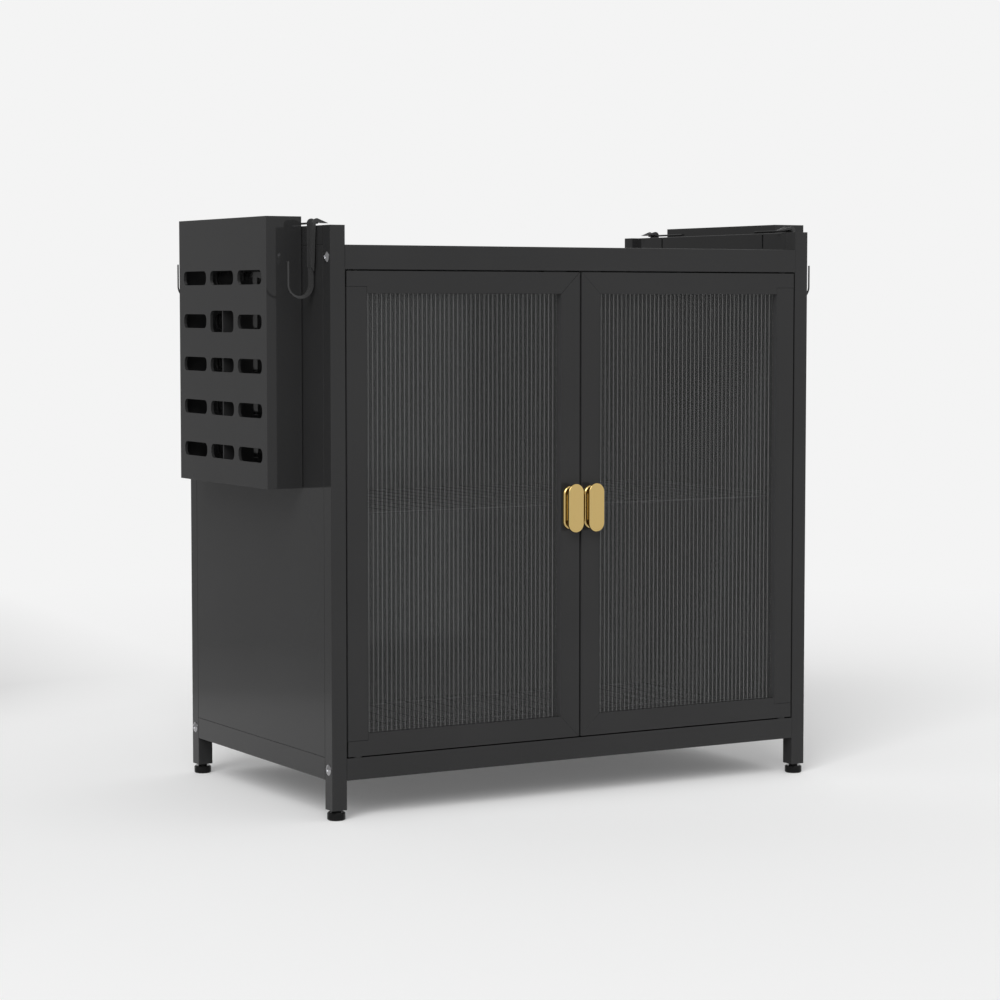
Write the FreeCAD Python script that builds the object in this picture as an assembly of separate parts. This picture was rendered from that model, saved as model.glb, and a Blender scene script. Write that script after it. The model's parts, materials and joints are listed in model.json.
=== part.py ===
"""Dish drainer cabinet: a knock-down steel frame with two reeded-pane doors, two racks,
a drip tray, four screw feet, and a slotted caddy with two hooks hung on each side.

Millimetres. Z is up from the floor, X runs along the front, the doors face -Y.
The origin is on the floor, under the middle of the overall width and depth.
"""
import FreeCAD, Part

import math
import os

V = FreeCAD.Vector

# Frame
cabinet_width = 600.0
cabinet_depth = 354.0
post_size = 17.0
post_length = 602.4
post_corner = 0.8
tube_wall = 1.2
end_plate = 3.0
sheet = 1.2
leg_height = 30.3
bottom_rail_height = 23.2
top_rail_height = 25.2
side_rail_thickness = 10.0
side_bottom_rail_height = 23.8
side_top_rail_height = 20.0
rail_corner = 0.8

# Bolts that hold the long rails to the posts
bolt_radius = 3.0
bolt_length = 24.0
bolt_head_radius = 5.7
bolt_head_height = 2.2
bolt_head_rim = 0.4
bolt_socket_radius = 2.0
bolt_socket_depth = 1.2
bolt_hole_clearance = 0.2

# Screw feet
foot_radius = 9.5
foot_height = 8.5
foot_edge = 1.2
foot_neck_radius = 5.0
foot_neck_height = 2.2
foot_stud_radius = 4.0
foot_stud_length = 26.0

# Doors
door_gap_side = 1.7
door_gap_centre = 2.7
door_gap_end = 1.3
door_depth = 16.0
bar_width = 23.2
stile_step = 16.0
pane_recess = 7.5
pane_rebate = 6.0
pane_gap = 1.0
pane_thickness = 4.0
rib_pitch = 5.3
rib_height = 0.9
pane_plain_margin = 0.7
bead_gap = 0.2
pivot_from_edge = 12.0
pivot_radius = 2.5
pivot_length = 6.0
pivot_block_length = 22.0
swing_clearance = 0.3
washer_radius = 6.0
running_gap = 0.05
seat_gap = 0.1

# Door handles and catches
handle_width = 19.0
handle_height = 52.2
handle_base_height = 47.6
handle_plate = 3.0
handle_neck_length = 6.9
handle_neck_width = 11.0
handle_neck_height = 36.0
handle_edge = 0.8
handle_base_edge = 2.6
handle_centre_height = 314.4
handle_screw_spacing = 24.0
handle_screw_radius = 2.0
handle_screw_head_radius = 3.5
handle_screw_head = 2.2
handle_screw_grip = 5.0
catch_width = 28.0
catch_from_centre = 8.0
catch_depth = 9.0
catch_overlap = 15.0
catch_foot = 20.0
catch_edge = 1.0

# Racks, ledges and drip tray
rack_rod_radius = 1.2
rack_wire_radius = 1.0
rack_wire_pitch = 25.6
rack_side_clearance = 8.0
rack_weld = 0.3
rack_behind_doors = 2.0
rack_end_gap = 6.0
rack_overhang = 2.0
upper_ledge_height = 314.0
lower_ledge_height = 62.0
ledge_width = 15.0
ledge_thickness = 1.5
ledge_end_gap = 10.0
tray_height = 15.0
tray_wall = 1.5
tray_rim = 4.0
tray_side_gap = 3.0
tray_end_gap = 5.0

# Side caddies
caddy_reach = 41.3
caddy_length = 222.0
caddy_height = 281.9
caddy_rise = 10.0
caddy_wall = 3.2
caddy_back = 2.0
caddy_standoff = 1.0
caddy_forward = 1.8
slot_length = 59.0
slot_height = 15.0
slot_corner = 6.2
slot_columns = 3
slot_column_pitch = 69.5
slot_rows = 5
slot_row_pitch = 46.3
slot_top_drop = 62.7
tall_slot_row = 1
tall_slot_height = 23.0
divider_thickness = 2.0
divider_behind_middle = 4.9
divider_drop_inside = 62.0
divider_drop_outside = 73.0

# Tabs that hang a caddy on the side top rail
tab_from_middle = 104.0
tab_thickness = 2.0
tab_gap = 0.3
tab_neck_height = 10.7
tab_lip_drop = 1.5
tab_slot_bottom = 3.0
tab_slot_height = 15.4

# Hook rods and hooks
rod_radius = 1.1
rod_above_rail = 2.5
rod_start = 75.0
rod_overhang = 0.6
hook_from_middle = 140.1
hook_saddle_gap = 0.2
hook_web = 0.9
hook_rib = 2.6
hook_rib_width = 1.2
hook_top_width = 14.2
hook_low_width = 9.6
hook_channel_length = 49.2
hook_rib_slant = 4.1
hook_lean = 1.0
hook_lip_length = 15.7
hook_lip_fall = 2.2
hook_tip_width = 2.4
hook_leg = 4.4
hook_leg_overlap = 3.0
hook_leg_gap = 1.6
hook_gape = 22.8
hook_arm = 1.2
hook_arm_width = 1.4
hook_bend_drop = 63.3
hook_arm_height = 24.0

# Places that follow from the sizes
handle_reach = 2 * handle_plate + handle_neck_length
foot_overhang = foot_radius - post_size / 2
middle_y = (handle_reach - foot_overhang) / 2
front_y = middle_y - cabinet_depth / 2
back_y = middle_y + cabinet_depth / 2
side_x = cabinet_width / 2
post_x = side_x - post_size
rail_front_y = front_y + post_size
rail_back_y = back_y - post_size
post_bottom = foot_height + foot_neck_height
post_top = post_bottom + post_length
bottom_rail_low = post_bottom + leg_height
bottom_rail_top = bottom_rail_low + bottom_rail_height
side_bottom_rail_top = bottom_rail_low + side_bottom_rail_height
top_rail_top = post_top - side_top_rail_height
top_rail_low = top_rail_top - top_rail_height
side_rail_x = side_x - side_rail_thickness
panel_x = side_x - sheet

door_low = bottom_rail_top + door_gap_end
door_top = top_rail_low - door_gap_end
door_hinge_x = post_x - door_gap_side
door_meeting_x = door_gap_centre / 2
door_back_y = front_y + door_depth
pivot_x = door_hinge_x - pivot_from_edge
pivot_setback = math.sqrt((pivot_from_edge + door_gap_side - swing_clearance) ** 2 - pivot_from_edge ** 2)
pivot_y = front_y + pivot_setback
swing_back_y = pivot_y + math.hypot(pivot_from_edge, door_depth - pivot_setback)

rack_front_y = swing_back_y + rack_behind_doors + rack_rod_radius
rack_back_y = rail_back_y - rack_end_gap

caddy_outer_x = side_x + caddy_reach
caddy_back_x = side_x + caddy_standoff
caddy_shell_x = caddy_back_x + caddy_back
caddy_top = post_top + caddy_rise
caddy_low = caddy_top - caddy_height
caddy_middle_y = middle_y - caddy_forward
rod_x = caddy_back_x - rod_radius
rod_z = post_top + rod_above_rail

PARTS = "parts"
os.makedirs(PARTS, exist_ok=True)


def save(node, *solids):
    """Write one node, whose solids stay separate pieces."""
    shape = solids[0] if len(solids) == 1 else Part.makeCompound(list(solids))
    shape.exportStep(os.path.join(PARTS, node + ".step"))
    print(node, len(shape.Solids), "solid(s)", round(shape.Volume / 1000, 2), "cm3")


def mirrored(shape):
    """The same piece on the other side of the cabinet."""
    return shape.mirror(V(0, 0, 0), V(1, 0, 0))


def to_back(shape):
    """The same piece at the other end of the depth."""
    return shape.mirror(V(0, middle_y, 0), V(0, 1, 0))


def save_pair(node, *solids):
    """Write a piece of the right side and its mirror image on the left."""
    save(node.format("right"), *solids)
    save(node.format("left"), *[mirrored(s) for s in solids])


def block(x0, x1, y0, y1, z0, z1):
    """A box between two corners, given in any order."""
    low = V(min(x0, x1), min(y0, y1), min(z0, z1))
    return Part.makeBox(abs(x1 - x0), abs(y1 - y0), abs(z1 - z0), low)


def rod(radius, start, end):
    """A round bar from one point to another."""
    run = end.sub(start)
    return Part.makeCylinder(radius, run.Length, start, run)


def place(axis, u, v, along):
    """A point given across and along an axis."""
    return {"x": V(along, u, v), "y": V(u, along, v), "z": V(u, v, along)}[axis]


def rounded_wire(axis, along, u0, u1, v0, v1, radius):
    """A rectangle with round corners, square to the axis."""
    bow = radius * (1 - math.sqrt(0.5))
    corners = [(u1, v0, -1, 1), (u1, v1, -1, -1), (u0, v1, 1, -1), (u0, v0, 1, 1)]
    edges = []
    ends = []
    for number, (u, v, su, sv) in enumerate(corners):
        on_u = place(axis, u + su * radius, v, along)
        on_v = place(axis, u, v + sv * radius, along)
        first, last = (on_u, on_v) if number % 2 == 0 else (on_v, on_u)
        middle = place(axis, u + su * bow, v + sv * bow, along)
        edges.append(Part.Arc(first, middle, last).toShape())
        ends.append((first, last))
    for number in range(4):
        edges.append(Part.LineSegment(ends[number - 1][1], ends[number][0]).toShape())
    return Part.Wire(Part.__sortEdges__(edges))


def rounded_bar(axis, a0, a1, u0, u1, v0, v1, radius):
    """A bar of rounded rectangular section along an axis."""
    face = Part.Face(rounded_wire(axis, a0, u0, u1, v0, v1, radius))
    return face.extrude(place(axis, 0, 0, a1 - a0))


def tube(axis, a0, a1, u0, u1, v0, v1, corner, wall):
    """A rectangular tube along an axis, open at both ends."""
    outer = rounded_bar(axis, a0, a1, u0, u1, v0, v1, corner)
    span = place(axis, u0 + wall, v0 + wall, a0)
    size = place(axis, u1 - u0 - 2 * wall, v1 - v0 - 2 * wall, a1 - a0)
    return outer.cut(Part.makeBox(size.x, size.y, size.z, span))


def polygon_bar(axis, points, a0, a1):
    """A straight bar whose section is a polygon."""
    outline = [place(axis, u, v, a0) for u, v in points]
    face = Part.Face(Part.makePolygon(outline + outline[:1]))
    return face.extrude(place(axis, 0, 0, a1 - a0))


def turned(profile, base, axis):
    """A turned piece: (radius, height) points, lines only, revolved about an axis."""
    points = [V(r, 0, h) for r, h in profile]
    body = Part.Face(Part.makePolygon(points + points[:1])).revolve(V(0, 0, 0), V(0, 0, 1), 360)
    body.Placement = FreeCAD.Placement(base, FreeCAD.Rotation(V(0, 0, 1), axis))
    return body


def stadium(y0, y1, x, z, width, height):
    """An upright plate with round ends, thick along Y."""
    half = height / 2 - width / 2
    plate = block(x - width / 2, x + width / 2, y0, y1, z - half, z + half)
    for end in (z - half, z + half):
        plate = plate.fuse(rod(width / 2, V(x, y0, end), V(x, y1, end)))
    return plate.removeSplitter()


def soften(shape, radius, chosen):
    """Round the edges that the test picks."""
    return shape.makeFillet(radius, [edge for edge in shape.Edges if chosen(edge)])


bolt_heights = (bottom_rail_low + bottom_rail_height / 2, top_rail_low + top_rail_height / 2)
post_centre_y = front_y + post_size / 2


# Frame
def front_right_post():
    post = tube("z", post_bottom, post_top, post_x, side_x, front_y, rail_front_y, post_corner, tube_wall)
    inner = (post_x + tube_wall, side_x - tube_wall, front_y + tube_wall, rail_front_y - tube_wall)
    post = post.fuse(block(*inner, post_bottom, post_bottom + end_plate))
    post = post.fuse(block(*inner, post_top - end_plate, post_top))
    for height in bolt_heights:
        hole = rod(bolt_radius + bolt_hole_clearance, V(post_x - 1, post_centre_y, height),
                   V(side_x + 1, post_centre_y, height))
        post = post.cut(hole)
    centre_x = side_x - post_size / 2
    stud_hole = rod(foot_stud_radius + running_gap, V(centre_x, post_centre_y, post_bottom - 1),
                    V(centre_x, post_centre_y, post_bottom + end_plate + 1))
    return post.cut(stud_hole).removeSplitter()


def long_rail(low, high, pivot_wall):
    """A front rail with tapped end plates and, in one wall, the holes for the door pivots."""
    rail = tube("x", -post_x, post_x, front_y, rail_front_y, low, high, rail_corner, tube_wall)
    centre = (low + high) / 2
    for side in (-1, 1):
        plate = block(side * post_x, side * (post_x - end_plate), front_y + tube_wall,
                      rail_front_y - tube_wall, low + tube_wall, high - tube_wall)
        tapped = rod(bolt_radius, V(side * post_x, post_centre_y, centre),
                     V(side * (post_x - end_plate), post_centre_y, centre))
        rail = rail.fuse(plate.cut(tapped))
        if pivot_wall is not None:
            hole = rod(pivot_radius + running_gap, V(side * pivot_x, pivot_y, pivot_wall - tube_wall),
                       V(side * pivot_x, pivot_y, pivot_wall + tube_wall))
            rail = rail.cut(hole)
    return rail.removeSplitter()


def frame_bolt(height):
    """A button-head bolt with a socket, from the side face through the post into the rail."""
    seat = V(side_x, post_centre_y, height)
    crown_x = side_x + bolt_head_height
    rise = bolt_head_height - bolt_head_rim
    dome_radius = (bolt_head_radius ** 2 + rise ** 2) / (2 * rise)
    dome = Part.makeSphere(dome_radius, V(crown_x - dome_radius, post_centre_y, height))
    head = rod(bolt_head_radius, seat, V(crown_x, post_centre_y, height)).common(dome)
    bolt = head.fuse(rod(bolt_radius, V(side_x - bolt_length, post_centre_y, height), seat)).removeSplitter()
    socket = [(bolt_socket_radius * math.cos(math.radians(60 * k)),
               bolt_socket_radius * math.sin(math.radians(60 * k))) for k in range(6)]
    socket = [(post_centre_y + u, height + v) for u, v in socket]
    return bolt.cut(polygon_bar("x", socket, crown_x - bolt_socket_depth, crown_x + 1))


def side_top_rail():
    """A flat tube with a slot through both walls for each caddy tab."""
    rail = tube("y", rail_front_y, rail_back_y, side_rail_x, side_x, top_rail_top, post_top,
                rail_corner, tube_wall)
    low = top_rail_top + tab_slot_bottom
    half = tab_thickness / 2 + tab_gap
    for side in (-1, 1):
        y = middle_y + side * tab_from_middle
        rail = rail.cut(block(side_rail_x - 1, side_x + 1, y - half, y + half, low, low + tab_slot_height))
    return rail


def ledge(face_x, top):
    """An angle on the side of the cabinet that carries the ends of a rack."""
    y0, y1 = rail_front_y + ledge_end_gap, rail_back_y - ledge_end_gap
    upright = block(face_x - ledge_thickness, face_x, y0, y1, top - ledge_width, top)
    shelf = block(face_x - ledge_width, face_x, y0, y1, top - ledge_thickness, top)
    return upright.fuse(shelf).removeSplitter()


def front_and_back(shape):
    return [shape, to_back(shape)]


def build_frame():
    post = front_right_post()
    save_pair("post_front_{}", post)
    save_pair("post_back_{}", to_back(post))
    top_rail = long_rail(top_rail_low, top_rail_top, top_rail_low)
    save("front_top_rail", top_rail)
    save("back_top_rail", to_back(long_rail(top_rail_low, top_rail_top, None)))
    bottom_rail = long_rail(bottom_rail_low, bottom_rail_top, bottom_rail_top)
    save("front_bottom_rail", bottom_rail)
    save("back_bottom_rail", to_back(long_rail(bottom_rail_low, bottom_rail_top, None)))
    save_pair("side_top_rail_{}", side_top_rail())
    save_pair("side_bottom_rail_{}",
              tube("y", rail_front_y, rail_back_y, side_rail_x, side_x, bottom_rail_low,
                   side_bottom_rail_top, rail_corner, tube_wall))
    save_pair("side_panel_{}",
              block(panel_x, side_x, rail_front_y, rail_back_y, side_bottom_rail_top, top_rail_top))
    save("top_panel", block(-panel_x, panel_x, rail_front_y, rail_back_y, top_rail_top - sheet, top_rail_top))
    save("bottom_panel", block(-side_rail_x, side_rail_x, rail_front_y, rail_back_y,
                               bottom_rail_low, bottom_rail_low + sheet))
    save("back_panel", block(-post_x, post_x, back_y - sheet, back_y, bottom_rail_top, top_rail_low))
    bolts = [end for height in bolt_heights for end in front_and_back(frame_bolt(height))]
    save("frame_bolts", *bolts, *[mirrored(b) for b in bolts])
    for node, face_x, top in (("upper_rack_ledges", panel_x, upper_ledge_height),
                              ("lower_rack_ledges", side_rail_x, lower_ledge_height)):
        angle = ledge(face_x, top)
        save(node, angle, mirrored(angle))
    washer = rod(washer_radius, V(pivot_x, pivot_y, bottom_rail_top),
                 V(pivot_x, pivot_y, door_low - seat_gap))
    washer = washer.cut(rod(pivot_radius + running_gap, V(pivot_x, pivot_y, bottom_rail_top),
                            V(pivot_x, pivot_y, door_low)))
    save("door_pivot_washers", washer, mirrored(washer))
    catch = block(catch_from_centre, catch_from_centre + catch_width, rail_front_y,
                  rail_front_y + catch_depth, top_rail_low - catch_overlap, top_rail_low + catch_foot)
    catch = soften(catch, catch_edge, lambda e: abs(e.tangentAt(e.FirstParameter).y) > 0.9)
    save("door_catches", catch, mirrored(catch))


# Screw feet
def front_right_foot():
    """A pad, a neck and a stud, turned as one piece. The neck's top bears on the post."""
    top = foot_height
    profile = [(0, 0), (foot_radius - foot_edge, 0), (foot_radius, foot_edge), (foot_radius, top - foot_edge),
               (foot_radius - foot_edge, top), (foot_neck_radius, top), (foot_neck_radius, post_bottom),
               (foot_stud_radius, post_bottom), (foot_stud_radius, post_bottom + foot_stud_length),
               (0, post_bottom + foot_stud_length)]
    return turned(profile, V(side_x - post_size / 2, post_centre_y, 0), V(0, 0, 1))


def build_feet():
    foot = front_right_foot()
    save_pair("foot_front_{}", foot)
    save_pair("foot_back_{}", to_back(foot))


# Doors
def rebated_bar(axis, a0, a1, outer_edge, inward):
    """A hollow door bar. Its back inner corner is rebated for the pane."""
    t = tube_wall

    def section(points):
        """Points are (distance from the outer edge, distance behind the front)."""
        if axis == "z":
            return [(outer_edge + inward * across, front_y + behind) for across, behind in points]
        return [(front_y + behind, outer_edge + inward * across) for across, behind in points]

    deep = bar_width - pane_rebate
    outer = [(0, 0), (bar_width, 0), (bar_width, pane_recess), (deep, pane_recess),
             (deep, door_depth), (0, door_depth)]
    inner = [(t, t), (bar_width - t, t), (bar_width - t, pane_recess - t), (deep - t, pane_recess - t),
             (deep - t, door_depth - t), (t, door_depth - t)]
    return polygon_bar(axis, section(outer), a0, a1).cut(polygon_bar(axis, section(inner), a0, a1))


def mitre_waste(edge_z, up, keep_stile):
    """The wedge that a 45 degree corner takes off a stile or a bar at the meeting edge."""
    reach = bar_width + 1
    corner = (door_meeting_x, edge_z)
    inside = (door_meeting_x + reach, edge_z - up * reach)
    if keep_stile:
        third = (door_meeting_x + reach, edge_z + up)
        outer = (door_meeting_x - 1, edge_z + up)
    else:
        third = (door_meeting_x - 1, edge_z - up * reach)
        outer = (door_meeting_x - 1, edge_z + up)
    points = [corner, inside, third, outer]
    return polygon_bar("y", points, front_y - 1, door_back_y + 1)


def door_end_bar(edge_z, up):
    """The top or bottom bar: mitred at the meeting edge, stepped over the hinge stile."""
    bar = rebated_bar("x", door_meeting_x, door_hinge_x, edge_z, -up)
    bar = bar.cut(mitre_waste(edge_z, up, False))
    step = block(door_hinge_x - bar_width, door_hinge_x + 1, front_y - 1, door_back_y + 1,
                 edge_z - up * stile_step, edge_z - up * (bar_width + 1))
    return bar.cut(step)


def door_pivot(edge_z, up):
    """A block welded into the end of a bar, with the pin that the door turns on."""
    near = edge_z - up * tube_wall
    far = edge_z - up * stile_step
    plug = block(door_hinge_x - pivot_block_length, door_hinge_x, front_y + tube_wall,
                 door_back_y - tube_wall, near, far)
    pin = rod(pivot_radius, V(pivot_x, pivot_y, near), V(pivot_x, pivot_y, edge_z + up * (door_gap_end
                                                                                      + pivot_length)))
    return plug.fuse(pin).removeSplitter()


def pivot_bore(edge_z, up):
    return rod(pivot_radius, V(pivot_x, pivot_y, edge_z + up), V(pivot_x, pivot_y, edge_z - up * tube_wall))


def reeded_pane():
    """A clear pane, plain behind and next to the meeting stile, with upright ribs in front."""
    hold = pane_rebate - pane_gap
    x0 = door_meeting_x + bar_width - hold
    x1 = door_hinge_x - bar_width + hold
    z0 = door_low + bar_width - hold
    z1 = door_top - bar_width + hold
    face = front_y + pane_recess
    valley = face + rib_height
    back = face + pane_thickness
    first_rib = x0 + hold + pane_plain_margin
    ribs = int((x1 - first_rib) / rib_pitch)
    last_rib = first_rib + ribs * rib_pitch
    edges = [Part.LineSegment(V(x0, back, z0), V(x0, valley, z0)).toShape(),
             Part.LineSegment(V(x0, valley, z0), V(first_rib, valley, z0)).toShape()]
    for rib in range(ribs):
        left = first_rib + rib * rib_pitch
        arc = Part.Arc(V(left, valley, z0), V(left + rib_pitch / 2, face, z0), V(left + rib_pitch, valley, z0))
        edges.append(arc.toShape())
    edges.append(Part.LineSegment(V(last_rib, valley, z0), V(x1, valley, z0)).toShape())
    edges.append(Part.LineSegment(V(x1, valley, z0), V(x1, back, z0)).toShape())
    edges.append(Part.LineSegment(V(x1, back, z0), V(x0, back, z0)).toShape())
    return Part.Face(Part.Wire(edges)).extrude(V(0, 0, z1 - z0))


def pane_beads():
    """Four strips in the rebate that hold the pane from behind."""
    y0 = front_y + pane_recess + pane_thickness
    inset = bar_width - pane_rebate + bead_gap
    x0, x1 = door_meeting_x + inset, door_hinge_x - inset
    z0, z1 = door_low + inset, door_top - inset
    width = pane_rebate - bead_gap
    uprights = [block(x0, x0 + width, y0, door_back_y, z0, z1), block(x1 - width, x1, y0, door_back_y, z0, z1)]
    return uprights + [block(x0 + width, x1 - width, y0, door_back_y, z0, z0 + width),
                       block(x0 + width, x1 - width, y0, door_back_y, z1 - width, z1)]


handle_x = door_meeting_x + bar_width / 2
handle_screw_heights = [handle_centre_height + side * handle_screw_spacing / 2 for side in (-1, 1)]


def handle():
    """A plate on the stile, a neck and a grip plate, cast as one piece."""
    plate_y = front_y - handle_plate
    grip_y = plate_y - handle_neck_length
    front = grip_y - handle_plate
    base = stadium(plate_y, front_y, handle_x, handle_centre_height, handle_width, handle_base_height)
    grip = stadium(front, grip_y, handle_x, handle_centre_height, handle_width, handle_height)
    base = soften(base, handle_base_edge, lambda e: e.BoundBox.YMax < plate_y + 0.01)
    grip = soften(grip, handle_edge,
                  lambda e: e.BoundBox.YMax < front + 0.01 or e.BoundBox.YMin > grip_y - 0.01)
    neck = stadium(grip_y, plate_y, handle_x, handle_centre_height, handle_neck_width, handle_neck_height)
    body = base.fuse(neck).fuse(grip).removeSplitter()
    for height in handle_screw_heights:
        tapped = rod(handle_screw_radius, V(handle_x, front_y, height),
                     V(handle_x, front_y - handle_screw_grip, height))
        body = body.cut(tapped)
    return body


def handle_screw(height):
    """A screw from behind the stile into the handle's neck."""
    shank = rod(handle_screw_radius, V(handle_x, front_y - handle_screw_grip, height),
                V(handle_x, door_back_y, height))
    head = rod(handle_screw_head_radius, V(handle_x, door_back_y, height),
               V(handle_x, door_back_y + handle_screw_head, height))
    return shank.fuse(head).removeSplitter()


def build_doors():
    """The right door, and the left as its mirror image."""
    hinge_stile = rebated_bar("z", door_low + stile_step, door_top - stile_step, door_hinge_x, -1)
    save_pair("door_{}_hinge_stile", hinge_stile)
    meeting_stile = rebated_bar("z", door_low, door_top, door_meeting_x, 1)
    for edge_z, up in ((door_low, -1), (door_top, 1)):
        meeting_stile = meeting_stile.cut(mitre_waste(edge_z, up, True))
    for height in handle_screw_heights:
        bore = rod(handle_screw_radius, V(handle_x, front_y - 1, height), V(handle_x, door_back_y + 1, height))
        meeting_stile = meeting_stile.cut(bore)
    save_pair("door_{}_meeting_stile", meeting_stile)
    for name, edge_z, up in (("bottom", door_low, -1), ("top", door_top, 1)):
        bar = door_end_bar(edge_z, up).cut(pivot_bore(edge_z, up))
        save_pair("door_{}_" + name + "_bar", bar)
    save_pair("door_{}_pane", reeded_pane())
    save_pair("door_{}_pane_beads", *pane_beads())
    save_pair("door_{}_pivots", door_pivot(door_low, -1), door_pivot(door_top, 1))
    save_pair("door_{}_handle", handle())
    save_pair("door_{}_handle_screws", *[handle_screw(height) for height in handle_screw_heights])


# Racks and tray
def rack(face_x, ledge_top):
    """Wires along the depth, welded on three rods along the width and one at each end."""
    rod_z = ledge_top + seat_gap + rack_rod_radius
    wire_z = rod_z + rack_rod_radius + rack_wire_radius - rack_weld
    half = face_x - rack_overhang
    end_x = half - ledge_width / 2
    across = [rack_front_y, (rack_front_y + rack_back_y) / 2, rack_back_y]
    pieces = [rod(rack_rod_radius, V(-half, y, rod_z), V(half, y, rod_z)) for y in across]
    each_side = int((end_x - rack_side_clearance) / rack_wire_pitch + 0.5)
    places = [(k + 0.5) * rack_wire_pitch for k in range(each_side)] + [end_x]
    for x in [side * place_x for side in (-1, 1) for place_x in places]:
        pieces.append(rod(rack_wire_radius, V(x, rack_front_y, wire_z), V(x, rack_back_y, wire_z)))
    return pieces[0].multiFuse(pieces[1:])


def drip_tray():
    """A shallow open tray with a turned-out rim, standing on the bottom panel."""
    low = bottom_rail_low + sheet
    high = low + tray_height
    x = side_rail_x - ledge_width - tray_side_gap
    y0, y1 = rail_front_y + tray_end_gap, rail_back_y - tray_end_gap
    rim = block(-x, x, y0, y1, high - tray_wall, high)
    pan = block(-x + tray_rim, x - tray_rim, y0 + tray_rim, y1 - tray_rim, low, high)
    inset = tray_rim + tray_wall
    return pan.fuse(rim).cut(block(-x + inset, x - inset, y0 + inset, y1 - inset, low + tray_wall, high + 1))


def build_racks():
    save("upper_rack", rack(panel_x, upper_ledge_height))
    save("lower_rack", rack(side_rail_x, lower_ledge_height))
    save("drip_tray", drip_tray().removeSplitter())


# Side caddies
def slots(x0, x1):
    """The bars that cut the rows of round-ended slots through a wall."""
    cutters = []
    for column in range(slot_columns):
        y = caddy_middle_y + (column - (slot_columns - 1) / 2) * slot_column_pitch
        for row in range(slot_rows):
            z = caddy_top - slot_top_drop - row * slot_row_pitch
            tall = row == tall_slot_row and column == slot_columns // 2
            height = tall_slot_height if tall else slot_height
            cutters.append(rounded_bar("x", x0, x1, y - slot_length / 2, y + slot_length / 2,
                                       z - height / 2, z + height / 2, slot_corner))
    return Part.makeCompound(cutters)


caddy_y0 = caddy_middle_y - caddy_length / 2
caddy_y1 = caddy_middle_y + caddy_length / 2
divider_y = caddy_middle_y + divider_behind_middle


def caddy_shell():
    """The outer wall, both ends and the bottom, moulded as one piece."""
    shell = block(caddy_shell_x, caddy_outer_x, caddy_y0, caddy_y1, caddy_low, caddy_top)
    hollow = block(caddy_shell_x - 1, caddy_outer_x - caddy_wall, caddy_y0 + caddy_wall,
                   caddy_y1 - caddy_wall, caddy_low + caddy_wall, caddy_top + 1)
    return shell.cut(hollow).cut(slots(caddy_outer_x - caddy_wall - 1, caddy_outer_x + 1))


def caddy_back_plate():
    """The slotted back, with two tabs that drop into the side top rail."""
    plate = block(caddy_back_x, caddy_shell_x, caddy_y0, caddy_y1, caddy_low, caddy_top)
    plate = plate.cut(slots(caddy_back_x - 1, caddy_shell_x + 1))
    neck_low = top_rail_top + tab_slot_bottom + seat_gap
    tip_x = side_rail_x + tube_wall + tab_gap
    lip_x = side_x - tube_wall - tab_gap
    for side in (-1, 1):
        y = middle_y + side * tab_from_middle
        y0, y1 = y - tab_thickness / 2, y + tab_thickness / 2
        neck = block(tip_x, caddy_back_x, y0, y1, neck_low, neck_low + tab_neck_height)
        lip = block(tip_x, lip_x, y0, y1, neck_low - tab_lip_drop, neck_low + tab_neck_height)
        plate = plate.fuse(neck).fuse(lip)
    return plate.removeSplitter()


def caddy_divider():
    """A wall near the middle, between the back plate and the outer wall, lower towards the outside."""
    low = caddy_low + caddy_wall
    outer_x = caddy_outer_x - caddy_wall
    outline = [(caddy_shell_x, low), (outer_x, low), (outer_x, caddy_top - divider_drop_outside),
               (caddy_shell_x, caddy_top - divider_drop_inside)]
    half = divider_thickness / 2
    return polygon_bar("y", outline, divider_y - half, divider_y + half)


def hook_rod():
    end = hook_from_middle + hook_top_width / 2 + rod_overhang
    return rod(rod_radius, V(rod_x, middle_y - rod_start, rod_z), V(rod_x, middle_y - end, rod_z))


def build_caddies():
    save_pair("caddy_{}_shell", caddy_shell())
    save_pair("caddy_{}_back_plate", caddy_back_plate())
    save_pair("caddy_{}_divider", caddy_divider())
    save_pair("caddy_{}_hook_rods", *front_and_back(hook_rod()))


# Hooks
hook_y = middle_y - hook_from_middle
hook_inner = rod_radius + hook_saddle_gap
hook_outer = hook_inner + hook_web
hook_fall = math.atan2(hook_lip_fall, hook_lip_length)
hook_low_z = rod_z - hook_channel_length
hook_low_x = rod_x + hook_inner + hook_lean
hook_leg_x = side_x + hook_leg_gap
hook_bend_z = rod_z - hook_bend_drop


def around_rod(radius, angle, along=0.0):
    """A point on a circle about the rod, then along the tangent there. Seen along the depth."""
    return V(rod_x + radius * math.cos(angle) - along * math.sin(angle), hook_y,
             rod_z + radius * math.sin(angle) + along * math.cos(angle))


def line(start, end):
    return Part.LineSegment(start, end).toShape()


def thickened(edges, width):
    """A flat outline in the plane of the hook, made solid by a width along the depth."""
    face = Part.Face(Part.Wire(Part.__sortEdges__(edges)))
    face.translate(V(0, -width / 2, 0))
    return face.extrude(V(0, width, 0))


def hook_band(low_points, outer):
    """The side view of the web or of its ribs: up the outside, round the rod and in along the lip.

    The low points run from the inner face to the outer one. Ribs and web end alike at the tip.
    """
    turn = math.pi / 2 + hook_fall
    points = [V(x, hook_y, z) for x, z in low_points]
    edges = [line(a, b) for a, b in zip(points, points[1:])]
    tips = []
    for radius, tip_radius, start in ((hook_inner, hook_inner, points[0]), (outer, hook_outer, points[-1])):
        tips.append(around_rod(tip_radius, turn, hook_lip_length))
        edges.append(line(start, around_rod(radius, 0)))
        edges.append(Part.Arc(around_rod(radius, 0), around_rod(radius, turn / 2),
                              around_rod(radius, turn)).toShape())
        edges.append(line(around_rod(radius, turn), tips[-1]))
    edges.append(line(*tips))
    return thickened(edges, 2 * hook_top_width)


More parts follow.
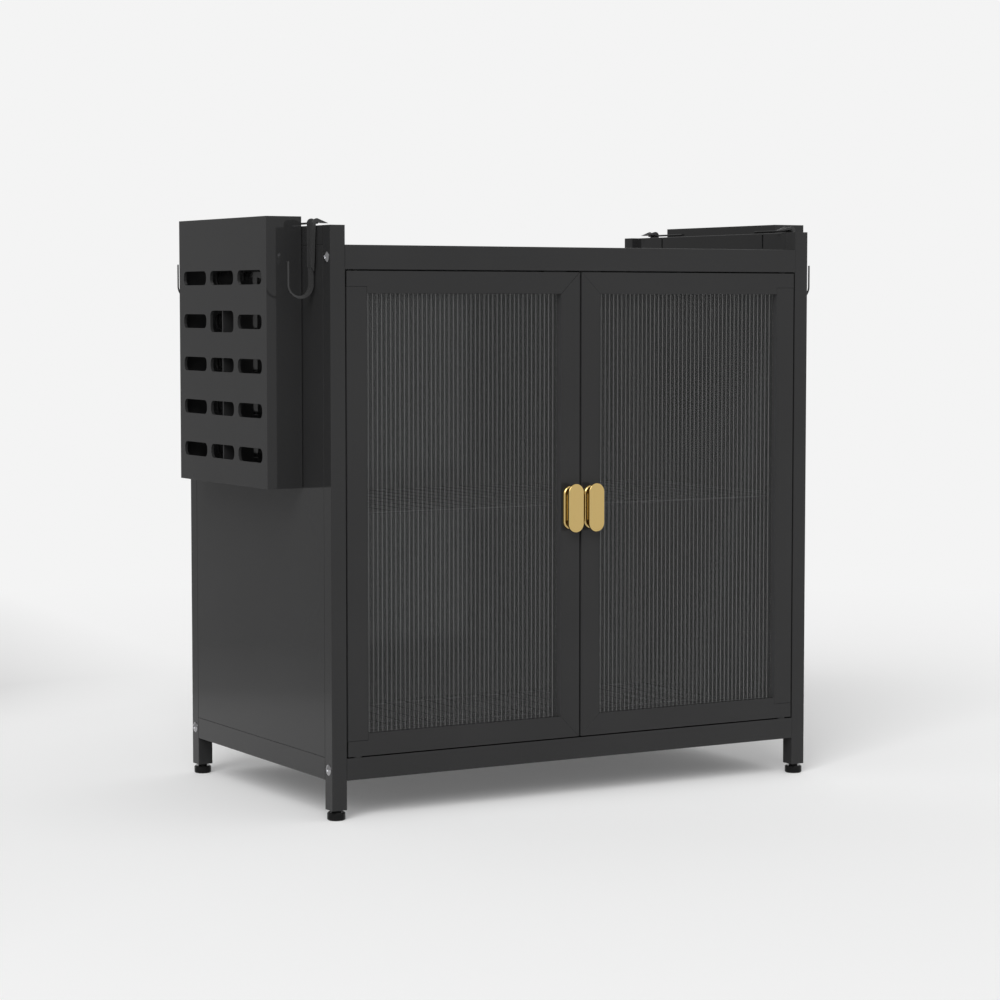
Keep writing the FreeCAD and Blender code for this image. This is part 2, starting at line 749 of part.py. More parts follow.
def hook_outline(inset):
    """The outline of the channel seen from the side of the cabinet, and of the lip from above."""
    top, low, tip = hook_top_width / 2 - inset, hook_low_width / 2 - inset, hook_tip_width / 2
    above = rod_z + hook_top_width
    channel = [(-top, above), (-top, rod_z), (-low, hook_low_z), (low, hook_low_z), (top, rod_z), (top, above)]
    channel = polygon_bar("x", [(hook_y + v, z) for v, z in channel], rod_x, rod_x + hook_top_width)
    far = rod_x - hook_lip_length - hook_outer
    lip = [(rod_x, -top), (far, inset - tip), (far, tip - inset), (rod_x, top)]
    if inset >= tip:
        lip = [(rod_x, -top), (rod_x + (far - rod_x) * top / (top - tip + inset), 0), (rod_x, top)]
    lip = polygon_bar("z", [(x, hook_y + v) for x, v in lip], rod_z, above)
    return channel.fuse(lip)


def hook_bend():
    """The square leg, the half-round bend and the thin outer arm, tapered both ways."""
    inner_x = hook_leg_x + hook_leg
    arm_x = inner_x + hook_gape
    far_x = arm_x + hook_arm
    top = hook_low_z + hook_leg_overlap
    arm_top = hook_bend_z + hook_arm_height - hook_arm / 2

    def at(x, z):
        return V(x, hook_y, z)

    def half_turn(x0, x1):
        middle = at((x0 + x1) / 2, hook_bend_z - (x1 - x0) / 2)
        return Part.Arc(at(x0, hook_bend_z), middle, at(x1, hook_bend_z)).toShape()

    tip = Part.Arc(at(arm_x, arm_top), at((arm_x + far_x) / 2, arm_top + hook_arm / 2), at(far_x, arm_top))
    edges = [half_turn(hook_leg_x, far_x), half_turn(inner_x, arm_x), tip.toShape(),
             line(at(hook_leg_x, hook_bend_z), at(hook_leg_x, top)),
             line(at(hook_leg_x, top), at(inner_x, top)), line(at(inner_x, top), at(inner_x, hook_bend_z)),
             line(at(arm_x, hook_bend_z), at(arm_x, arm_top)), line(at(far_x, arm_top), at(far_x, hook_bend_z))]
    bar = thickened(edges, hook_leg)
    wide, narrow = hook_leg / 2, hook_arm_width / 2
    plan = [(hook_leg_x, hook_y - wide), (inner_x, hook_y - wide), (far_x, hook_y - narrow),
            (far_x, hook_y + narrow), (inner_x, hook_y + wide), (hook_leg_x, hook_y + wide)]
    return bar.common(polygon_bar("z", plan, hook_bend_z - far_x + hook_leg_x, rod_z))


def front_right_hook():
    """A pressed channel that narrows downwards, with a pointed lip over the rail and a bent leg below."""
    web = hook_band([(hook_low_x, hook_low_z), (hook_low_x + hook_web, hook_low_z)], hook_outer)
    rib_x = hook_low_x + hook_web + hook_rib
    ribs = hook_band([(hook_low_x, hook_low_z), (hook_low_x + hook_web, hook_low_z),
                      (rib_x, hook_low_z + hook_rib_slant)], hook_outer + hook_rib)
    rim = hook_outline(0).cut(hook_outline(hook_rib_width))
    hook = web.common(hook_outline(0)).fuse(ribs.common(rim))
    return hook.fuse(hook_bend()).removeSplitter()


def build_hooks():
    hook = front_right_hook()
    save_pair("hook_front_{}", hook)
    save_pair("hook_back_{}", to_back(hook))


build_frame()
build_feet()
build_doors()
build_racks()
build_caddies()
build_hooks()
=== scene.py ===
# %% [markdown]
# # Dish drainer cabinet
#
# A black steel cabinet on four screw feet, with two reeded-pane doors, wire racks inside and a
# slotted caddy hung on each side. The construction already exists as a fixed frame of real
# pieces. This lesson gives each of them the finish of the real one, rounds the edges that a
# press or a mould leaves round, and sets up the studio in which the cabinet is looked at.

# %% Load the frame
import math

import bmesh
import bpy
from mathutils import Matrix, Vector
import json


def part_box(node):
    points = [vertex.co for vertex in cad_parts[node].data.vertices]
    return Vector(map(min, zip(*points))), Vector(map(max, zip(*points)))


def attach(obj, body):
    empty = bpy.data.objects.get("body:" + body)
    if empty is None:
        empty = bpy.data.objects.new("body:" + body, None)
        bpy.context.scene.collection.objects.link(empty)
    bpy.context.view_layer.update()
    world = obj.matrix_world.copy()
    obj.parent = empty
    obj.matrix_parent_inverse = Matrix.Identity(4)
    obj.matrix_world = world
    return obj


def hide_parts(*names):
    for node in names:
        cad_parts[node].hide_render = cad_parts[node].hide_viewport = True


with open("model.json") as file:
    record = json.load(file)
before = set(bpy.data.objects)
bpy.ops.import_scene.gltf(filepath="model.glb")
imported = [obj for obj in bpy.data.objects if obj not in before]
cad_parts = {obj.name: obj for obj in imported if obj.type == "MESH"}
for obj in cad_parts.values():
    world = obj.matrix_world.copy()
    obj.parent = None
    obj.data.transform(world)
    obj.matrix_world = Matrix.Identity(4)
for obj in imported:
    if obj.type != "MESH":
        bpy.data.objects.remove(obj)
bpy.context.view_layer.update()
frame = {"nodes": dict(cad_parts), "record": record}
node_names = sorted(frame["nodes"])
print("pieces in the frame:", len(node_names))

# %% [markdown]
# ## The camera
#
# The viewer stands in front and to the left, a little below the top of the cabinet, and uses a
# long lens, so that the upright edges stay almost parallel. The view could be turned until it
# looks right, but a place, two angles and a focal length give the same picture each time.
# Distances are in metres, in the same frame as the cabinet.

# %% Camera
VIEW_FROM = Vector((-1.5670, -2.6920, 0.5326))
VIEW_YAW = 30.19
VIEW_DOWN = 4.06
VIEW_LENS = 99.39
VIEW_REACH = 60.0
SENSOR = 36.0


def add_object(name, data):
    """A new object in the scene, with a mesh, a lamp or a camera as its data."""
    made = bpy.data.objects.new(name, data)
    bpy.context.scene.collection.objects.link(made)
    return made


def make_camera():
    """A camera at the photograph's place and angle."""
    data = bpy.data.cameras.new("studio_camera")
    data.lens = VIEW_LENS
    data.sensor_width = SENSOR
    data.sensor_fit = "HORIZONTAL"
    data.clip_end = VIEW_REACH
    camera = add_object("studio_camera", data)
    camera.location = VIEW_FROM
    camera.rotation_euler = (math.radians(90 - VIEW_DOWN), 0.0, math.radians(-VIEW_YAW))
    bpy.context.scene.camera = camera
    return camera


print("lens of", make_camera().name, "in mm:", VIEW_LENS)

# %% [markdown]
# ## Shader maths as plain expressions
#
# A finish is a small sum: some noise, a mask, a colour. Wiring that by hand hides the sum, so a
# small class wraps a socket and lets the usual operators add the Math nodes. Colours and vectors
# don't go through Math nodes, which would turn them into plain numbers: they have Mix and Vector
# Math nodes of their own.


# %% Sockets as values
class Value:
    """What comes out of a node."""

    def __init__(self, maker, socket):
        self.maker = maker
        self.socket = socket

    def maths(self, operation, *others, **options):
        settings = {"operation": operation, **options}
        return self.maker.node("ShaderNodeMath", settings, [self, *others])

    def __add__(self, other):
        return self.maths("ADD", other)

    def __sub__(self, other):
        return self.maths("SUBTRACT", other)

    def __rsub__(self, other):
        return self.maker.node("ShaderNodeMath", {"operation": "SUBTRACT"}, [other, self])

    def __mul__(self, other):
        return self.maths("MULTIPLY", other)

    def __abs__(self):
        return self.maths("ABSOLUTE")

    __radd__ = __add__
    __rmul__ = __mul__

    def clamped(self):
        """The same number, cut off at 0 and at 1."""
        return self.maths("ADD", 0.0, use_clamp=True)

    def between(self, low, high):
        """0 below low, 1 above high, and a straight ramp between."""
        return self.maker.node("ShaderNodeMapRange", {"clamp": True}, [self, low, high, 0.0, 1.0])


print("a value adds its own nodes for:", ", ".join(("+", "-", "*", "abs", "clamped", "between")))


# %% A node tree under construction
class Wiring:
    """A node tree under construction."""

    def __init__(self, tree, output_kind):
        self.tree = tree
        self.tree.nodes.clear()
        self.output = self.tree.nodes.new(output_kind)

    def node(self, kind, settings=None, inputs=(), output=0):
        """Add a node: first its settings, then the values or links of its sockets."""
        made = self.tree.nodes.new(kind)
        for name, value in (settings or {}).items():
            setattr(made, name, value)
        pairs = inputs.items() if isinstance(inputs, dict) else enumerate(inputs)
        for key, value in pairs:
            if isinstance(value, Value):
                self.tree.links.new(value.socket, made.inputs[key])
            else:
                made.inputs[key].default_value = value
        return Value(self, made.outputs[output])

    def blend(self, mask, first, second):
        """One colour where the mask is 0, the other where it is 1."""
        inputs = {0: mask, 6: first, 7: second}
        return self.node("ShaderNodeMix", {"data_type": "RGBA"}, inputs, 2)

    def along(self, vector, direction):
        """How far a vector points in a direction."""
        settings = {"operation": "DOT_PRODUCT"}
        return self.node("ShaderNodeVectorMath", settings, [vector, direction], "Value")

    def finish(self, shader):
        """Link the last shader to the output of the tree."""
        self.tree.links.new(shader.socket, self.output.inputs["Surface"])


print("the one method for any other node:", Wiring.node.__name__)


# %% A material under construction
TO_THE_RIGHT = (1.0, 0.0, 0.0)


class Finish(Wiring):
    """A material under construction."""

    def __init__(self, name):
        self.material = bpy.data.materials.new(name)
        self.material.use_nodes = True
        super().__init__(self.material.node_tree, "ShaderNodeOutputMaterial")

    def place(self):
        """Where a point is in the object's own metres."""
        return self.node("ShaderNodeTexCoord", output="Object")

    def sideways(self, low, high):
        """0 where a face looks to the front or up, 1 where it looks to the left or right."""
        facing = self.node("ShaderNodeTexCoord", output="Normal")
        return abs(self.along(facing, TO_THE_RIGHT)).between(low, high)

    def noise(self, scale, detail=3.0):
        inputs = {"Vector": self.place(), "Scale": scale, "Detail": detail}
        return self.node("ShaderNodeTexNoise", {}, inputs, "Fac")

    def bump(self, height, distance):
        inputs = {"Height": height, "Distance": distance}
        return self.node("ShaderNodeBump", {}, inputs, "Normal")

    def mixed(self, mask, first, second):
        """One shader where the mask is 0, the other where it is 1."""
        return self.node("ShaderNodeMixShader", {}, [mask, first, second])

    def surface(self, **sockets):
        """The one Principled shader, with sockets named by words."""
        inputs = {name.replace("_", " "): value for name, value in sockets.items()}
        return self.finish(self.node("ShaderNodeBsdfPrincipled", {}, inputs))

    def finish(self, shader):
        super().finish(shader)
        return self.material


print("materials before the first finish:", len(bpy.data.materials))

# %% [markdown]
# ## Black powder coat
#
# The steel is sprayed with powder that melts to a smooth skin about a tenth of a millimetre
# thick. It is nearly black, so most of what is seen is reflection: a clear one, very slightly
# broken by the fine orange peel of the coat. A plain black would show no skin at all, so the
# roughness drifts a little over each piece and a bump of a few micrometres bends the light.
#
# The hooks have a lighter and more matte coat. The bars of the doors have painted light: their
# faces beside a pane are painted a little lighter, for the light that its pale ribs would throw
# on them. All these coats could be made one by one, but a single function with a few options
# keeps the skin the same on all of them.

# %% Powder coat
COAT_TONES = ((0.0222, 0.0222, 0.0225, 1.0), (0.0250, 0.0250, 0.0254, 1.0))
HOOK_TONES = ((0.037, 0.037, 0.0373, 1.0), (0.040, 0.040, 0.0403, 1.0))
PAINTED_SIDE_LIGHT = (0.044, 0.044, 0.045, 1.0)
PAINTED_SIDE_SPAN = (0.9, 0.99)
COAT_IOR = 1.27
SATIN_IOR = 1.3
CLOUD_SCALE = 6.0
CLOUD_SPAN = (0.35, 0.75)
COAT_DRIFT = 0.04
PEEL_SCALE = 900.0
PEEL_DEPTH = 0.000002
COAT_DETAIL = 2.0


def black_coat(name, roughness, peel=PEEL_DEPTH, ior=COAT_IOR, tones=COAT_TONES, side=None):
    """A smooth black skin. The peel is how deep its orange peel is, in metres. A side colour is
    painted light on the faces that look to the left or right.
    """
    finish = Finish(name)
    cloud = finish.noise(CLOUD_SCALE, COAT_DETAIL)
    grain = finish.noise(PEEL_SCALE, COAT_DETAIL)
    colour = finish.blend(cloud.between(*CLOUD_SPAN), *tones)
    if side:
        # Painted light: the side colour lightens the faces that look to the left or right.
        colour = finish.blend(finish.sideways(*PAINTED_SIDE_SPAN), colour, side)
    return finish.surface(Base_Color=colour, Roughness=cloud * COAT_DRIFT + roughness, IOR=ior,
                          Normal=finish.bump(grain, peel))


frame_coat = black_coat("frame_coat", roughness=0.05)
# The door bars get painted light on the faces beside the panes.
painted_light_door_coat = black_coat("door_bar_coat_painted_light", roughness=0.05, side=PAINTED_SIDE_LIGHT)
wire_coat = black_coat("wire_coat", roughness=0.08)
moulded = black_coat("moulded_black", roughness=0.02, peel=0.000001)
satin = black_coat("satin_hook_coat", roughness=0.24, ior=SATIN_IOR, tones=HOOK_TONES)
black_finishes = (frame_coat, painted_light_door_coat, wire_coat, moulded, satin)
print("black finishes:", ", ".join(material.name for material in black_finishes))

# %% [markdown]
# ## Brass, zinc, rubber and matte plastic
#
# The handles are polished brass, the bolts bright zinc. Both could have one roughness all over,
# but a buffed surface is never that even, so theirs wanders with a soft noise. The rubber of the
# feet, the pivots of the doors and the plastic of the catches are dark and slightly grainy. For
# these a noise of another scale darkens the grain in spots and bends the light. The pivots are
# black, and darker than their own plastic: painted shade, so that they read as the dark gap they
# sit in.

# %% Metals
BRASS_COLOUR = (0.57, 0.415, 0.166, 1.0)
ZINC_COLOUR = (0.38, 0.38, 0.39, 1.0)
BUFFED = 0.10
BUFFED_DRIFT = 0.08


def metal(name, colour, cloud_scale):
    """A buffed metal."""
    finish = Finish(name)
    cloud = finish.noise(cloud_scale)
    return finish.surface(Base_Color=colour, Metallic=1.0,
                          Roughness=cloud * BUFFED_DRIFT + BUFFED)


brass = metal("polished_brass", BRASS_COLOUR, cloud_scale=30.0)
zinc = metal("bright_zinc", ZINC_COLOUR, cloud_scale=60.0)
print("metals:", brass.name, zinc.name)

# %% Rubber and plastic
RUBBER_COLOUR = (0.007, 0.007, 0.007, 1.0)
PLASTIC_COLOUR = (0.018, 0.018, 0.018, 1.0)
RUBBER_IOR = 1.2
PLASTIC_IOR = 1.5
FINE_GRAIN = 0.00001
COARSE_GRAIN = 0.00003
GRAIN_SPAN = (0.4, 0.7)
GRAIN_SHADE = 0.8


def grainy(name, colour, roughness, scale=250.0, depth=FINE_GRAIN, ior=PLASTIC_IOR):
    """A dark finish with a grain as deep as given, in metres."""
    finish = Finish(name)
    grain = finish.noise(scale)
    darker = tuple(channel * GRAIN_SHADE for channel in colour[:3]) + (1.0,)
    tone = finish.blend(grain.between(*GRAIN_SPAN), colour, darker)
    return finish.surface(Base_Color=tone, Roughness=roughness, IOR=ior,
                          Normal=finish.bump(grain, depth))


rubber = grainy("black_rubber", RUBBER_COLOUR, roughness=0.16, scale=300.0, ior=RUBBER_IOR)
# The pivots' finish is black with painted shade: darker than their plastic, so that they read as
# the dark gap they sit in.
gap_shade_black = grainy("gap_shade_black", RUBBER_COLOUR, roughness=0.60)
matte_plastic = grainy("matte_black_plastic", PLASTIC_COLOUR, roughness=0.45, depth=COARSE_GRAIN)
print("grainy finishes:", rubber.name, gap_shade_black.name, matte_plastic.name)

# %% [markdown]
# ## The clear panes
#
# A thin clear sheet lets nearly all light pass and mirrors a little, more where it turns away
# from the eye. One shader with full transmission could make it, but that bends the light at each
# face and takes many samples. So a transparent and a glossy shader are mixed by the Fresnel of
# the surface.
#
# The steep sides of the ribs of a real pane also gather the light of the whole room and turn it
# towards the eye, which a thin sheet can't do. So a pale finish paints that light in: a grey that
# takes the light of the lamps, and a faint painted glow that stays the same where no lamp
# reaches.
# It shows as painted pale lines on the steep sides, and as a thin painted glow everywhere else.

# %% Clear sheet
PANE_IOR = 1.12
PANE_GLOSS = 0.04
PANE_TINT = (0.95, 0.96, 0.96, 1.0)
WHITE = (1.0, 1.0, 1.0, 1.0)
PAINTED_EVEN_GLOW = 0.064
PAINTED_RIB_GLOW = 0.41
RIB_SPAN = (0.3, 0.6)
RIB_GREY = (0.20, 0.20, 0.20, 1.0)
GATHERED = (0.23, 0.23, 0.23, 1.0)
GATHERED_SHARE = 0.6


def clear_sheet():
    finish = Finish("clear_sheet")
    mirror = finish.node("ShaderNodeFresnel", {}, {"IOR": PANE_IOR})
    clear = finish.node("ShaderNodeBsdfTransparent", {}, {"Color": PANE_TINT})
    gloss = finish.node("ShaderNodeBsdfGlossy", {}, {"Color": WHITE, "Roughness": PANE_GLOSS})
    grey = finish.node("ShaderNodeBsdfDiffuse", {}, {"Color": RIB_GREY})
    gathered = finish.node("ShaderNodeEmission", {}, {"Color": GATHERED, "Strength": 1.0})
    sheet = finish.mixed(mirror, clear, gloss)
    glow = finish.mixed(GATHERED_SHARE, grey, gathered)
    steep = finish.sideways(*RIB_SPAN)
    # Painted light: a glow on the steep sides of the ribs, and a thin even glow all over.
    return finish.finish(finish.mixed(steep * PAINTED_RIB_GLOW + PAINTED_EVEN_GLOW, sheet, glow))


pane_clear = clear_sheet()
print("finish of the panes:", pane_clear.name)

# %% [markdown]
# ## Which piece has which finish
#
# Each piece could be given its finish by hand. But the record gives each node a slot, such as
# black_powder_coat, so the finish is chosen by slot, and no piece is forgotten. Only the hooks,
# the bars of the doors and the pivots have a finish of their own.

# %% Finishes by slot
FINISHES = {
    "black_powder_coat": frame_coat,
    "black_gloss_plastic": moulded,
    "reeded_pane": pane_clear,
    "polished_brass": brass,
    "bright_steel": zinc,
    "black_matte_plastic": matte_plastic,
    "black_foot": rubber,
    "coated_wire": wire_coat,
}
slot_of = {part["node"]: part["material_slot"] for part in frame["record"]["subparts"]}
print("slots in use:", sorted(set(slot_of.values())))


# %% Finishes by piece
def named(start, *ends):
    """The pieces whose names start and end in these ways."""
    started = [name for name in node_names if name.startswith(start)]
    return tuple(name for name in started if name.endswith(ends or ""))


HOOKS = named("hook_")
DOOR_BARS = named("door_", "_bar", "_stile")
PIVOTS = named("door_", "_pivots", "_pivot_washers")
OWN_FINISHES = {**dict.fromkeys(HOOKS, satin), **dict.fromkeys(DOOR_BARS, painted_light_door_coat),
                **dict.fromkeys(PIVOTS, gap_shade_black)}


def finish_of(node):
    return OWN_FINISHES.get(node, FINISHES[slot_of[node]])


for name in node_names:
    materials = frame["nodes"][name].data.materials
    materials.clear()
    materials.append(finish_of(name))
print("pieces with a finish of their own:", len(OWN_FINISHES))

# %% [markdown]
# ## Pressed, folded and moulded edges
#
# No real edge is sharp: the coat rounds it and the press folds it. Where two coated pieces
# meet, their round edges leave a thin groove, and that groove is what shows as a dark joint line.
# Such small edges could be part of the construction, but they would make its solids heavy. So
# the frame's own mesh stays as it is. A copy of it is welded, its flat faces are joined, and a
# bevel rounds every edge by less than a millimetre. The bars of the doors are also a hair shorter
# in the copy, so that the joint between two of them stays open.

# %% A clean copy of a piece
WELD_WITHIN = 0.000001
FLAT_WITHIN = math.radians(0.5)
HAIRLINE = 0.00012


def shortened(shape, by):
    """Take a little off both ends of a long bar."""
    low = [min(v.co[k] for v in shape.verts) for k in range(3)]
    high = [max(v.co[k] for v in shape.verts) for k in range(3)]
    k = max(range(3), key=lambda axis: high[axis] - low[axis])
    middle, half = (high[k] + low[k]) / 2, (high[k] - low[k]) / 2
    for vert in shape.verts:
        vert.co[k] = middle + (vert.co[k] - middle) * (half - by) / half


def clean_copy(node):
    """A welded copy of a node's mesh, with its flat faces joined."""
    shape = bmesh.new()
    shape.from_mesh(frame["nodes"][node].data)
    bmesh.ops.remove_doubles(shape, verts=shape.verts, dist=WELD_WITHIN)
    bmesh.ops.dissolve_limit(shape, angle_limit=FLAT_WITHIN, verts=shape.verts, edges=shape.edges)
    if node in DOOR_BARS:
        shortened(shape, HAIRLINE)
    shape.verts.index_update()
    points = [v.co[:] for v in shape.verts]
    faces = [[v.index for v in face.verts] for face in shape.faces]
    shape.free()
    mesh = bpy.data.meshes.new(node + "_finished")
    mesh.from_pydata(points, [], faces)
    return mesh


print("bars that are a hair shorter:", len(DOOR_BARS))

# %% A copy with rounded edges
SHARPER_THAN = math.radians(32)
EDGE_SEGMENTS = 2
body_of = {node: body for body, nodes in frame["record"]["behaviour"]["bodies"].items()
           for node in nodes}


def stands_for(piece, node):
    """The new piece rides, and shows, in place of a node."""
    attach(piece, body_of[node])
    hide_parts(node)


def softened(node, edge):
    """A copy of a node with rounded edges and smooth shading."""
    mesh = clean_copy(node)
    mesh.materials.append(finish_of(node))
    mesh.polygons.foreach_set("use_smooth", [True] * len(mesh.polygons))
    piece = add_object(node + "_finished", mesh)
    bevel = piece.modifiers.new("round_edges", "BEVEL")
    bevel.width = edge
    bevel.segments = EDGE_SEGMENTS
    bevel.limit_method = "ANGLE"
    bevel.angle_limit = SHARPER_THAN
    bevel.use_clamp_overlap = True
    bevel.miter_outer = "MITER_ARC"
    flat = piece.modifiers.new("flat_faces", "WEIGHTED_NORMAL")
    flat.keep_sharp = False
    stands_for(piece, node)
    return piece


print("bodies that the copies ride on:", len(set(body_of.values())))

# %% [markdown]
# ## How round each edge is
#
# Thick moulded walls are the roundest, and thin strips and sheets have nearly sharp edges. Round
# wires, turned feet, screws and panes have no edge that a press leaves, so they stay as they are.

# %% Softened copies
STEEL_EDGE = 0.0005
SHEET_EDGE = 0.0003
MOULDED_EDGE = 0.0006
DIVIDER_EDGE = 0.0001
HOOK_EDGE = 0.0002
RAIL_EDGE = 0.0002
SHEETS = ("side_panel_right", "side_panel_left", "top_panel", "bottom_panel", "back_panel",
          "upper_rack_ledges", "lower_rack_ledges")
LEFT_ALONE = ("_rack", "_rods", "_pane", "_handle", "_handle_screws", "_pivots", "frame_bolts",
              "door_pivot_washers")


def edge_of(node):
    """How far a node's edges are rounded, or nothing where the node stays as it is."""
    if node.endswith(LEFT_ALONE) or node.startswith("foot_"):
        return None
    if node in SHEETS:
        return SHEET_EDGE
    if node.endswith("_divider"):
        return DIVIDER_EDGE
    if node.endswith("_shell"):
        return MOULDED_EDGE
    if node in HOOKS:
        return HOOK_EDGE
    if node.startswith("side_top_rail"):
        return RAIL_EDGE
    return STEEL_EDGE


softened_pieces = [softened(node, edge_of(node)) for node in node_names if edge_of(node)]
print("softened pieces:", len(softened_pieces))

# %% [markdown]
# ## The reeded panes
#
# The panes are clear sheets with upright ribs in front. Each rib has a flat top and turns steeply
# down to the valley beside it. Seen from a step away the flat tops are clear and dark, and only
# the steep sides catch the light, as thin pale lines. A bump could shade such ribs, but the pane
# would still be flat. The frame's ribs are real but shallow arcs, so the pane is made again here
# with the true profile, on the same lines and as high.

# %% A line raised into a solid
def extruded(node, line, low_z, high_z):
    """A closed line in the plan, raised from one height to another."""
    shape = bmesh.new()
    lower = [shape.verts.new((x, y, low_z)) for x, y in line]
    upper = [shape.verts.new((x, y, high_z)) for x, y in line]
    count = len(line)
    for k in range(count):
        after = (k + 1) % count
        shape.faces.new((lower[k], lower[after], upper[after], upper[k]))
    shape.faces.new(lower)
    shape.faces.new(upper[::-1])
    bmesh.ops.recalc_face_normals(shape, faces=shape.faces)
    mesh = bpy.data.meshes.new(node + "_reeded")
    shape.to_mesh(mesh)
    shape.free()
    mesh.materials.append(finish_of(node))
    piece = add_object(node + "_reeded", mesh)
    stands_for(piece, node)
    return piece


print("panes to make:", ", ".join(named("door_", "_pane")))

# %% Reeded pane
RIB_PITCH = 0.0053
RIB_HEIGHT = 0.0009
RIB_START = 0.0057
RIB_SLOPE = math.radians(65)
RIB_SIDE = RIB_HEIGHT / math.tan(RIB_SLOPE)


def rib_profile():
    """Points across one rib: how far across it, and how high above the valley."""
    return [(0.0, 0.0), (RIB_SIDE, RIB_HEIGHT), (RIB_PITCH - RIB_SIDE, RIB_HEIGHT)]


def reeded_pane(node, meeting_side):
    """A sheet that fills the node's box, ribbed in front from near its meeting edge."""
    low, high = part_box(node)
    meeting_x, hinge_x = (high[0], low[0]) if meeting_side > 0 else (low[0], high[0])
    way = -meeting_side
    valley = low[1] + RIB_HEIGHT
    ribs = int((abs(hinge_x - meeting_x) - RIB_START) / RIB_PITCH)
    line = [(meeting_x, high[1]), (meeting_x, valley)]
    for rib in range(ribs):
        start = meeting_x + way * (RIB_START + rib * RIB_PITCH)
        line += [(start + way * across, valley - height) for across, height in rib_profile()]
    line.append((meeting_x + way * (RIB_START + ribs * RIB_PITCH), valley))
    line += [(hinge_x, valley), (hinge_x, high[1])]
    return extruded(node, line, low[2], high[2])


for node, meeting_side in (("door_left_pane", 1), ("door_right_pane", -1)):
    pane = reeded_pane(node, meeting_side)
    print(pane.name, "faces:", len(pane.data.polygons))

# %% [markdown]
# ## The studio
#
# A pale backdrop surrounds the cabinet, but the left wall of the room is darker. That is why the
# side of the cabinet, which mirrors it at a slant, doesn't shine. Real walls would do that too,
# but a world whose colour depends on the direction has no corners. The eye and the mirrors see
# that backdrop, and everything else is lit by a softer and dimmer room light.

# %% Backdrop and room
PALE = (0.904, 0.904, 0.904, 1.0)
DIM_SIDE = (0.45, 0.45, 0.45, 1.0)
ROOM_LIGHT = (0.62, 0.62, 0.62, 1.0)
DIM_ROOM_LIGHT = (0.38, 0.38, 0.38, 1.0)
DIM_TOWARDS = (-0.866, 0.5, 0.0)
DIM_SPAN = (0.42, 0.80)
LEVEL = (1.0, 1.0, 0.0)


def dimness(wiring, direction):
    """0 in most directions, and 1 towards the left wall of the room, which is darker."""
    level = wiring.node("ShaderNodeVectorMath", {"operation": "MULTIPLY"}, [direction, LEVEL])
    level = wiring.node("ShaderNodeVectorMath", {"operation": "NORMALIZE"}, [level])
    return wiring.along(level, DIM_TOWARDS).between(*DIM_SPAN)


def make_world():
    """The backdrop for the eye and for mirrors, and a dimmer room light for the rest."""
    world = bpy.data.worlds.new("studio_world")
    bpy.context.scene.world = world
    world.use_nodes = True
    wiring = Wiring(world.node_tree, "ShaderNodeOutputWorld")
    dim = dimness(wiring, wiring.node("ShaderNodeTexCoord", output="Generated"))
    seen = wiring.blend(dim, PALE, DIM_SIDE)
    room = wiring.blend(dim, ROOM_LIGHT, DIM_ROOM_LIGHT)
    eye, mirror, clear = (wiring.node("ShaderNodeLightPath", output=kind) for kind in
                          ("Is Camera Ray", "Is Glossy Ray", "Is Transmission Ray"))
    colour = wiring.blend((eye + mirror + clear).clamped(), room, seen)
    wiring.finish(wiring.node("ShaderNodeBackground", {}, {"Color": colour, "Strength": 1.0}))
    return world


print("world:", make_world().name)

# %% [markdown]
# ## The floor
#
# Near the cabinet the floor is white paper that takes its shadow. The usual way is a sheet that
# curves up behind the object, which suits one view only. So the floor is flat, and farther out
# it turns into the backdrop, so that no horizon shows. A faint painted glow in the backdrop's
# colour is mixed into the paper everywhere: painted light that lifts the shadow under the
# cabinet and keeps it soft. Towards the darker wall the paper ends sooner and the floor is as dim
# as the wall, but not close to the cabinet.

# %% Floor
FLOOR_COLOUR = (0.94, 0.94, 0.94, 1.0)
FLOOR_RADIUS = 14.0
FLOOR_SIDES = 64
FLOOR_PAINTED_GLOW = 0.125
DIM_RING = (0.6, 1.0)
SOONER = 0.7
PAPER_SPAN = (0.9, 2.2)


def floor_paper():
    finish = Finish("floor_paper")
    place = finish.place()
    away = finish.node("ShaderNodeVectorMath", {"operation": "LENGTH"}, [place], "Value")
    paper = finish.node("ShaderNodeBsdfDiffuse", {}, {"Color": FLOOR_COLOUR})
    dim = dimness(finish, place) * away.between(*DIM_RING)
    shade = finish.blend(dim, PALE, DIM_SIDE)
    backdrop = finish.node("ShaderNodeEmission", {}, {"Color": shade, "Strength": 1.0})
    # Some backdrop glow stays mixed into the paper everywhere: painted light that lifts the
    # cabinet's shadow.
    paper_share = (1 - (away + dim * SOONER).between(*PAPER_SPAN)) * (1 - FLOOR_PAINTED_GLOW)
    return finish.finish(finish.mixed(1 - paper_share, paper, backdrop))


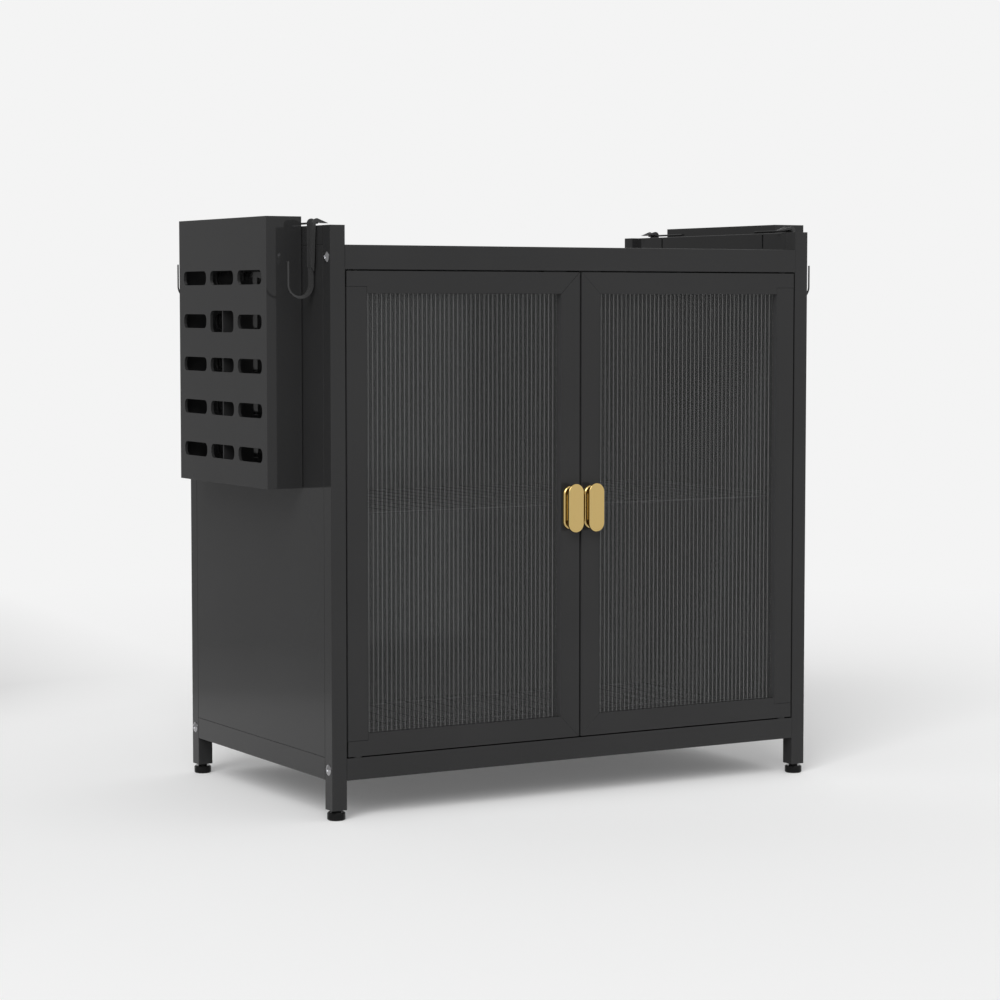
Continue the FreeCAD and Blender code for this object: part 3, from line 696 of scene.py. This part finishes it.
def make_floor():
    turns = [2 * math.pi * k / FLOOR_SIDES for k in range(FLOOR_SIDES)]
    ring = [(FLOOR_RADIUS * math.cos(turn), FLOOR_RADIUS * math.sin(turn), 0.0) for turn in turns]
    mesh = bpy.data.meshes.new("studio_floor")
    mesh.from_pydata(ring, [], [tuple(range(FLOOR_SIDES))])
    mesh.materials.append(floor_paper())
    floor = add_object("studio_floor", mesh)
    return floor


print("radius of", make_floor().name, "in m:", FLOOR_RADIUS)

# %% [markdown]
# ## The lamps
#
# One large soft lamp above and behind the viewer throws a soft shadow behind the cabinet. It
# could be a big panel, but then the floor would be brighter below it. So it is a sun with a wide
# disc, which lights the whole floor alike. A tall narrow lamp on the left draws the thin glints
# on the rims of the handles and bolts.

# %% Lamps
KEY_AZIMUTH = -42.0
KEY_ELEVATION = 38.0
KEY_SPREAD = 40.0
KEY_POWER = 1.84
STRIP_FROM = Vector((-3.3, -2.1, 1.5))
STRIP_TO = Vector((0.0, 0.0, 0.4))
STRIP_WIDTH = 0.4
STRIP_HEIGHT = 1.6
STRIP_POWER = 9.0


def distant_light(name, azimuth, elevation, spread, power):
    """A lamp so far away that it lights the whole floor alike."""
    data = bpy.data.lights.new(name, "SUN")
    data.energy = power
    data.angle = math.radians(spread)
    light = add_object(name, data)
    light.rotation_euler = (math.radians(90 - elevation), 0.0, math.radians(azimuth))
    return light


def area_light(name, place, target, width, height, power):
    """A rectangular lamp that looks at a point."""
    data = bpy.data.lights.new(name, "AREA")
    data.shape = "RECTANGLE"
    data.size = width
    data.size_y = height
    data.energy = power
    light = add_object(name, data)
    light.location = place
    light.rotation_euler = (target - place).to_track_quat("-Z", "Y").to_euler()
    return light


key = distant_light("key", KEY_AZIMUTH, KEY_ELEVATION, KEY_SPREAD, KEY_POWER)
strip = area_light("strip", STRIP_FROM, STRIP_TO, STRIP_WIDTH, STRIP_HEIGHT, STRIP_POWER)
print("lamps:", key.name, strip.name)

# %% [markdown]
# ## Colours as they are written
#
# Blender's usual view softens bright and strong colours, as a film does. The Standard view shows
# each colour as it is written, so it can be compared with the real one.

# %% View transform
scene = bpy.context.scene
scene.view_settings.view_transform = "Standard"
print("view transform:", scene.view_settings.view_transform)
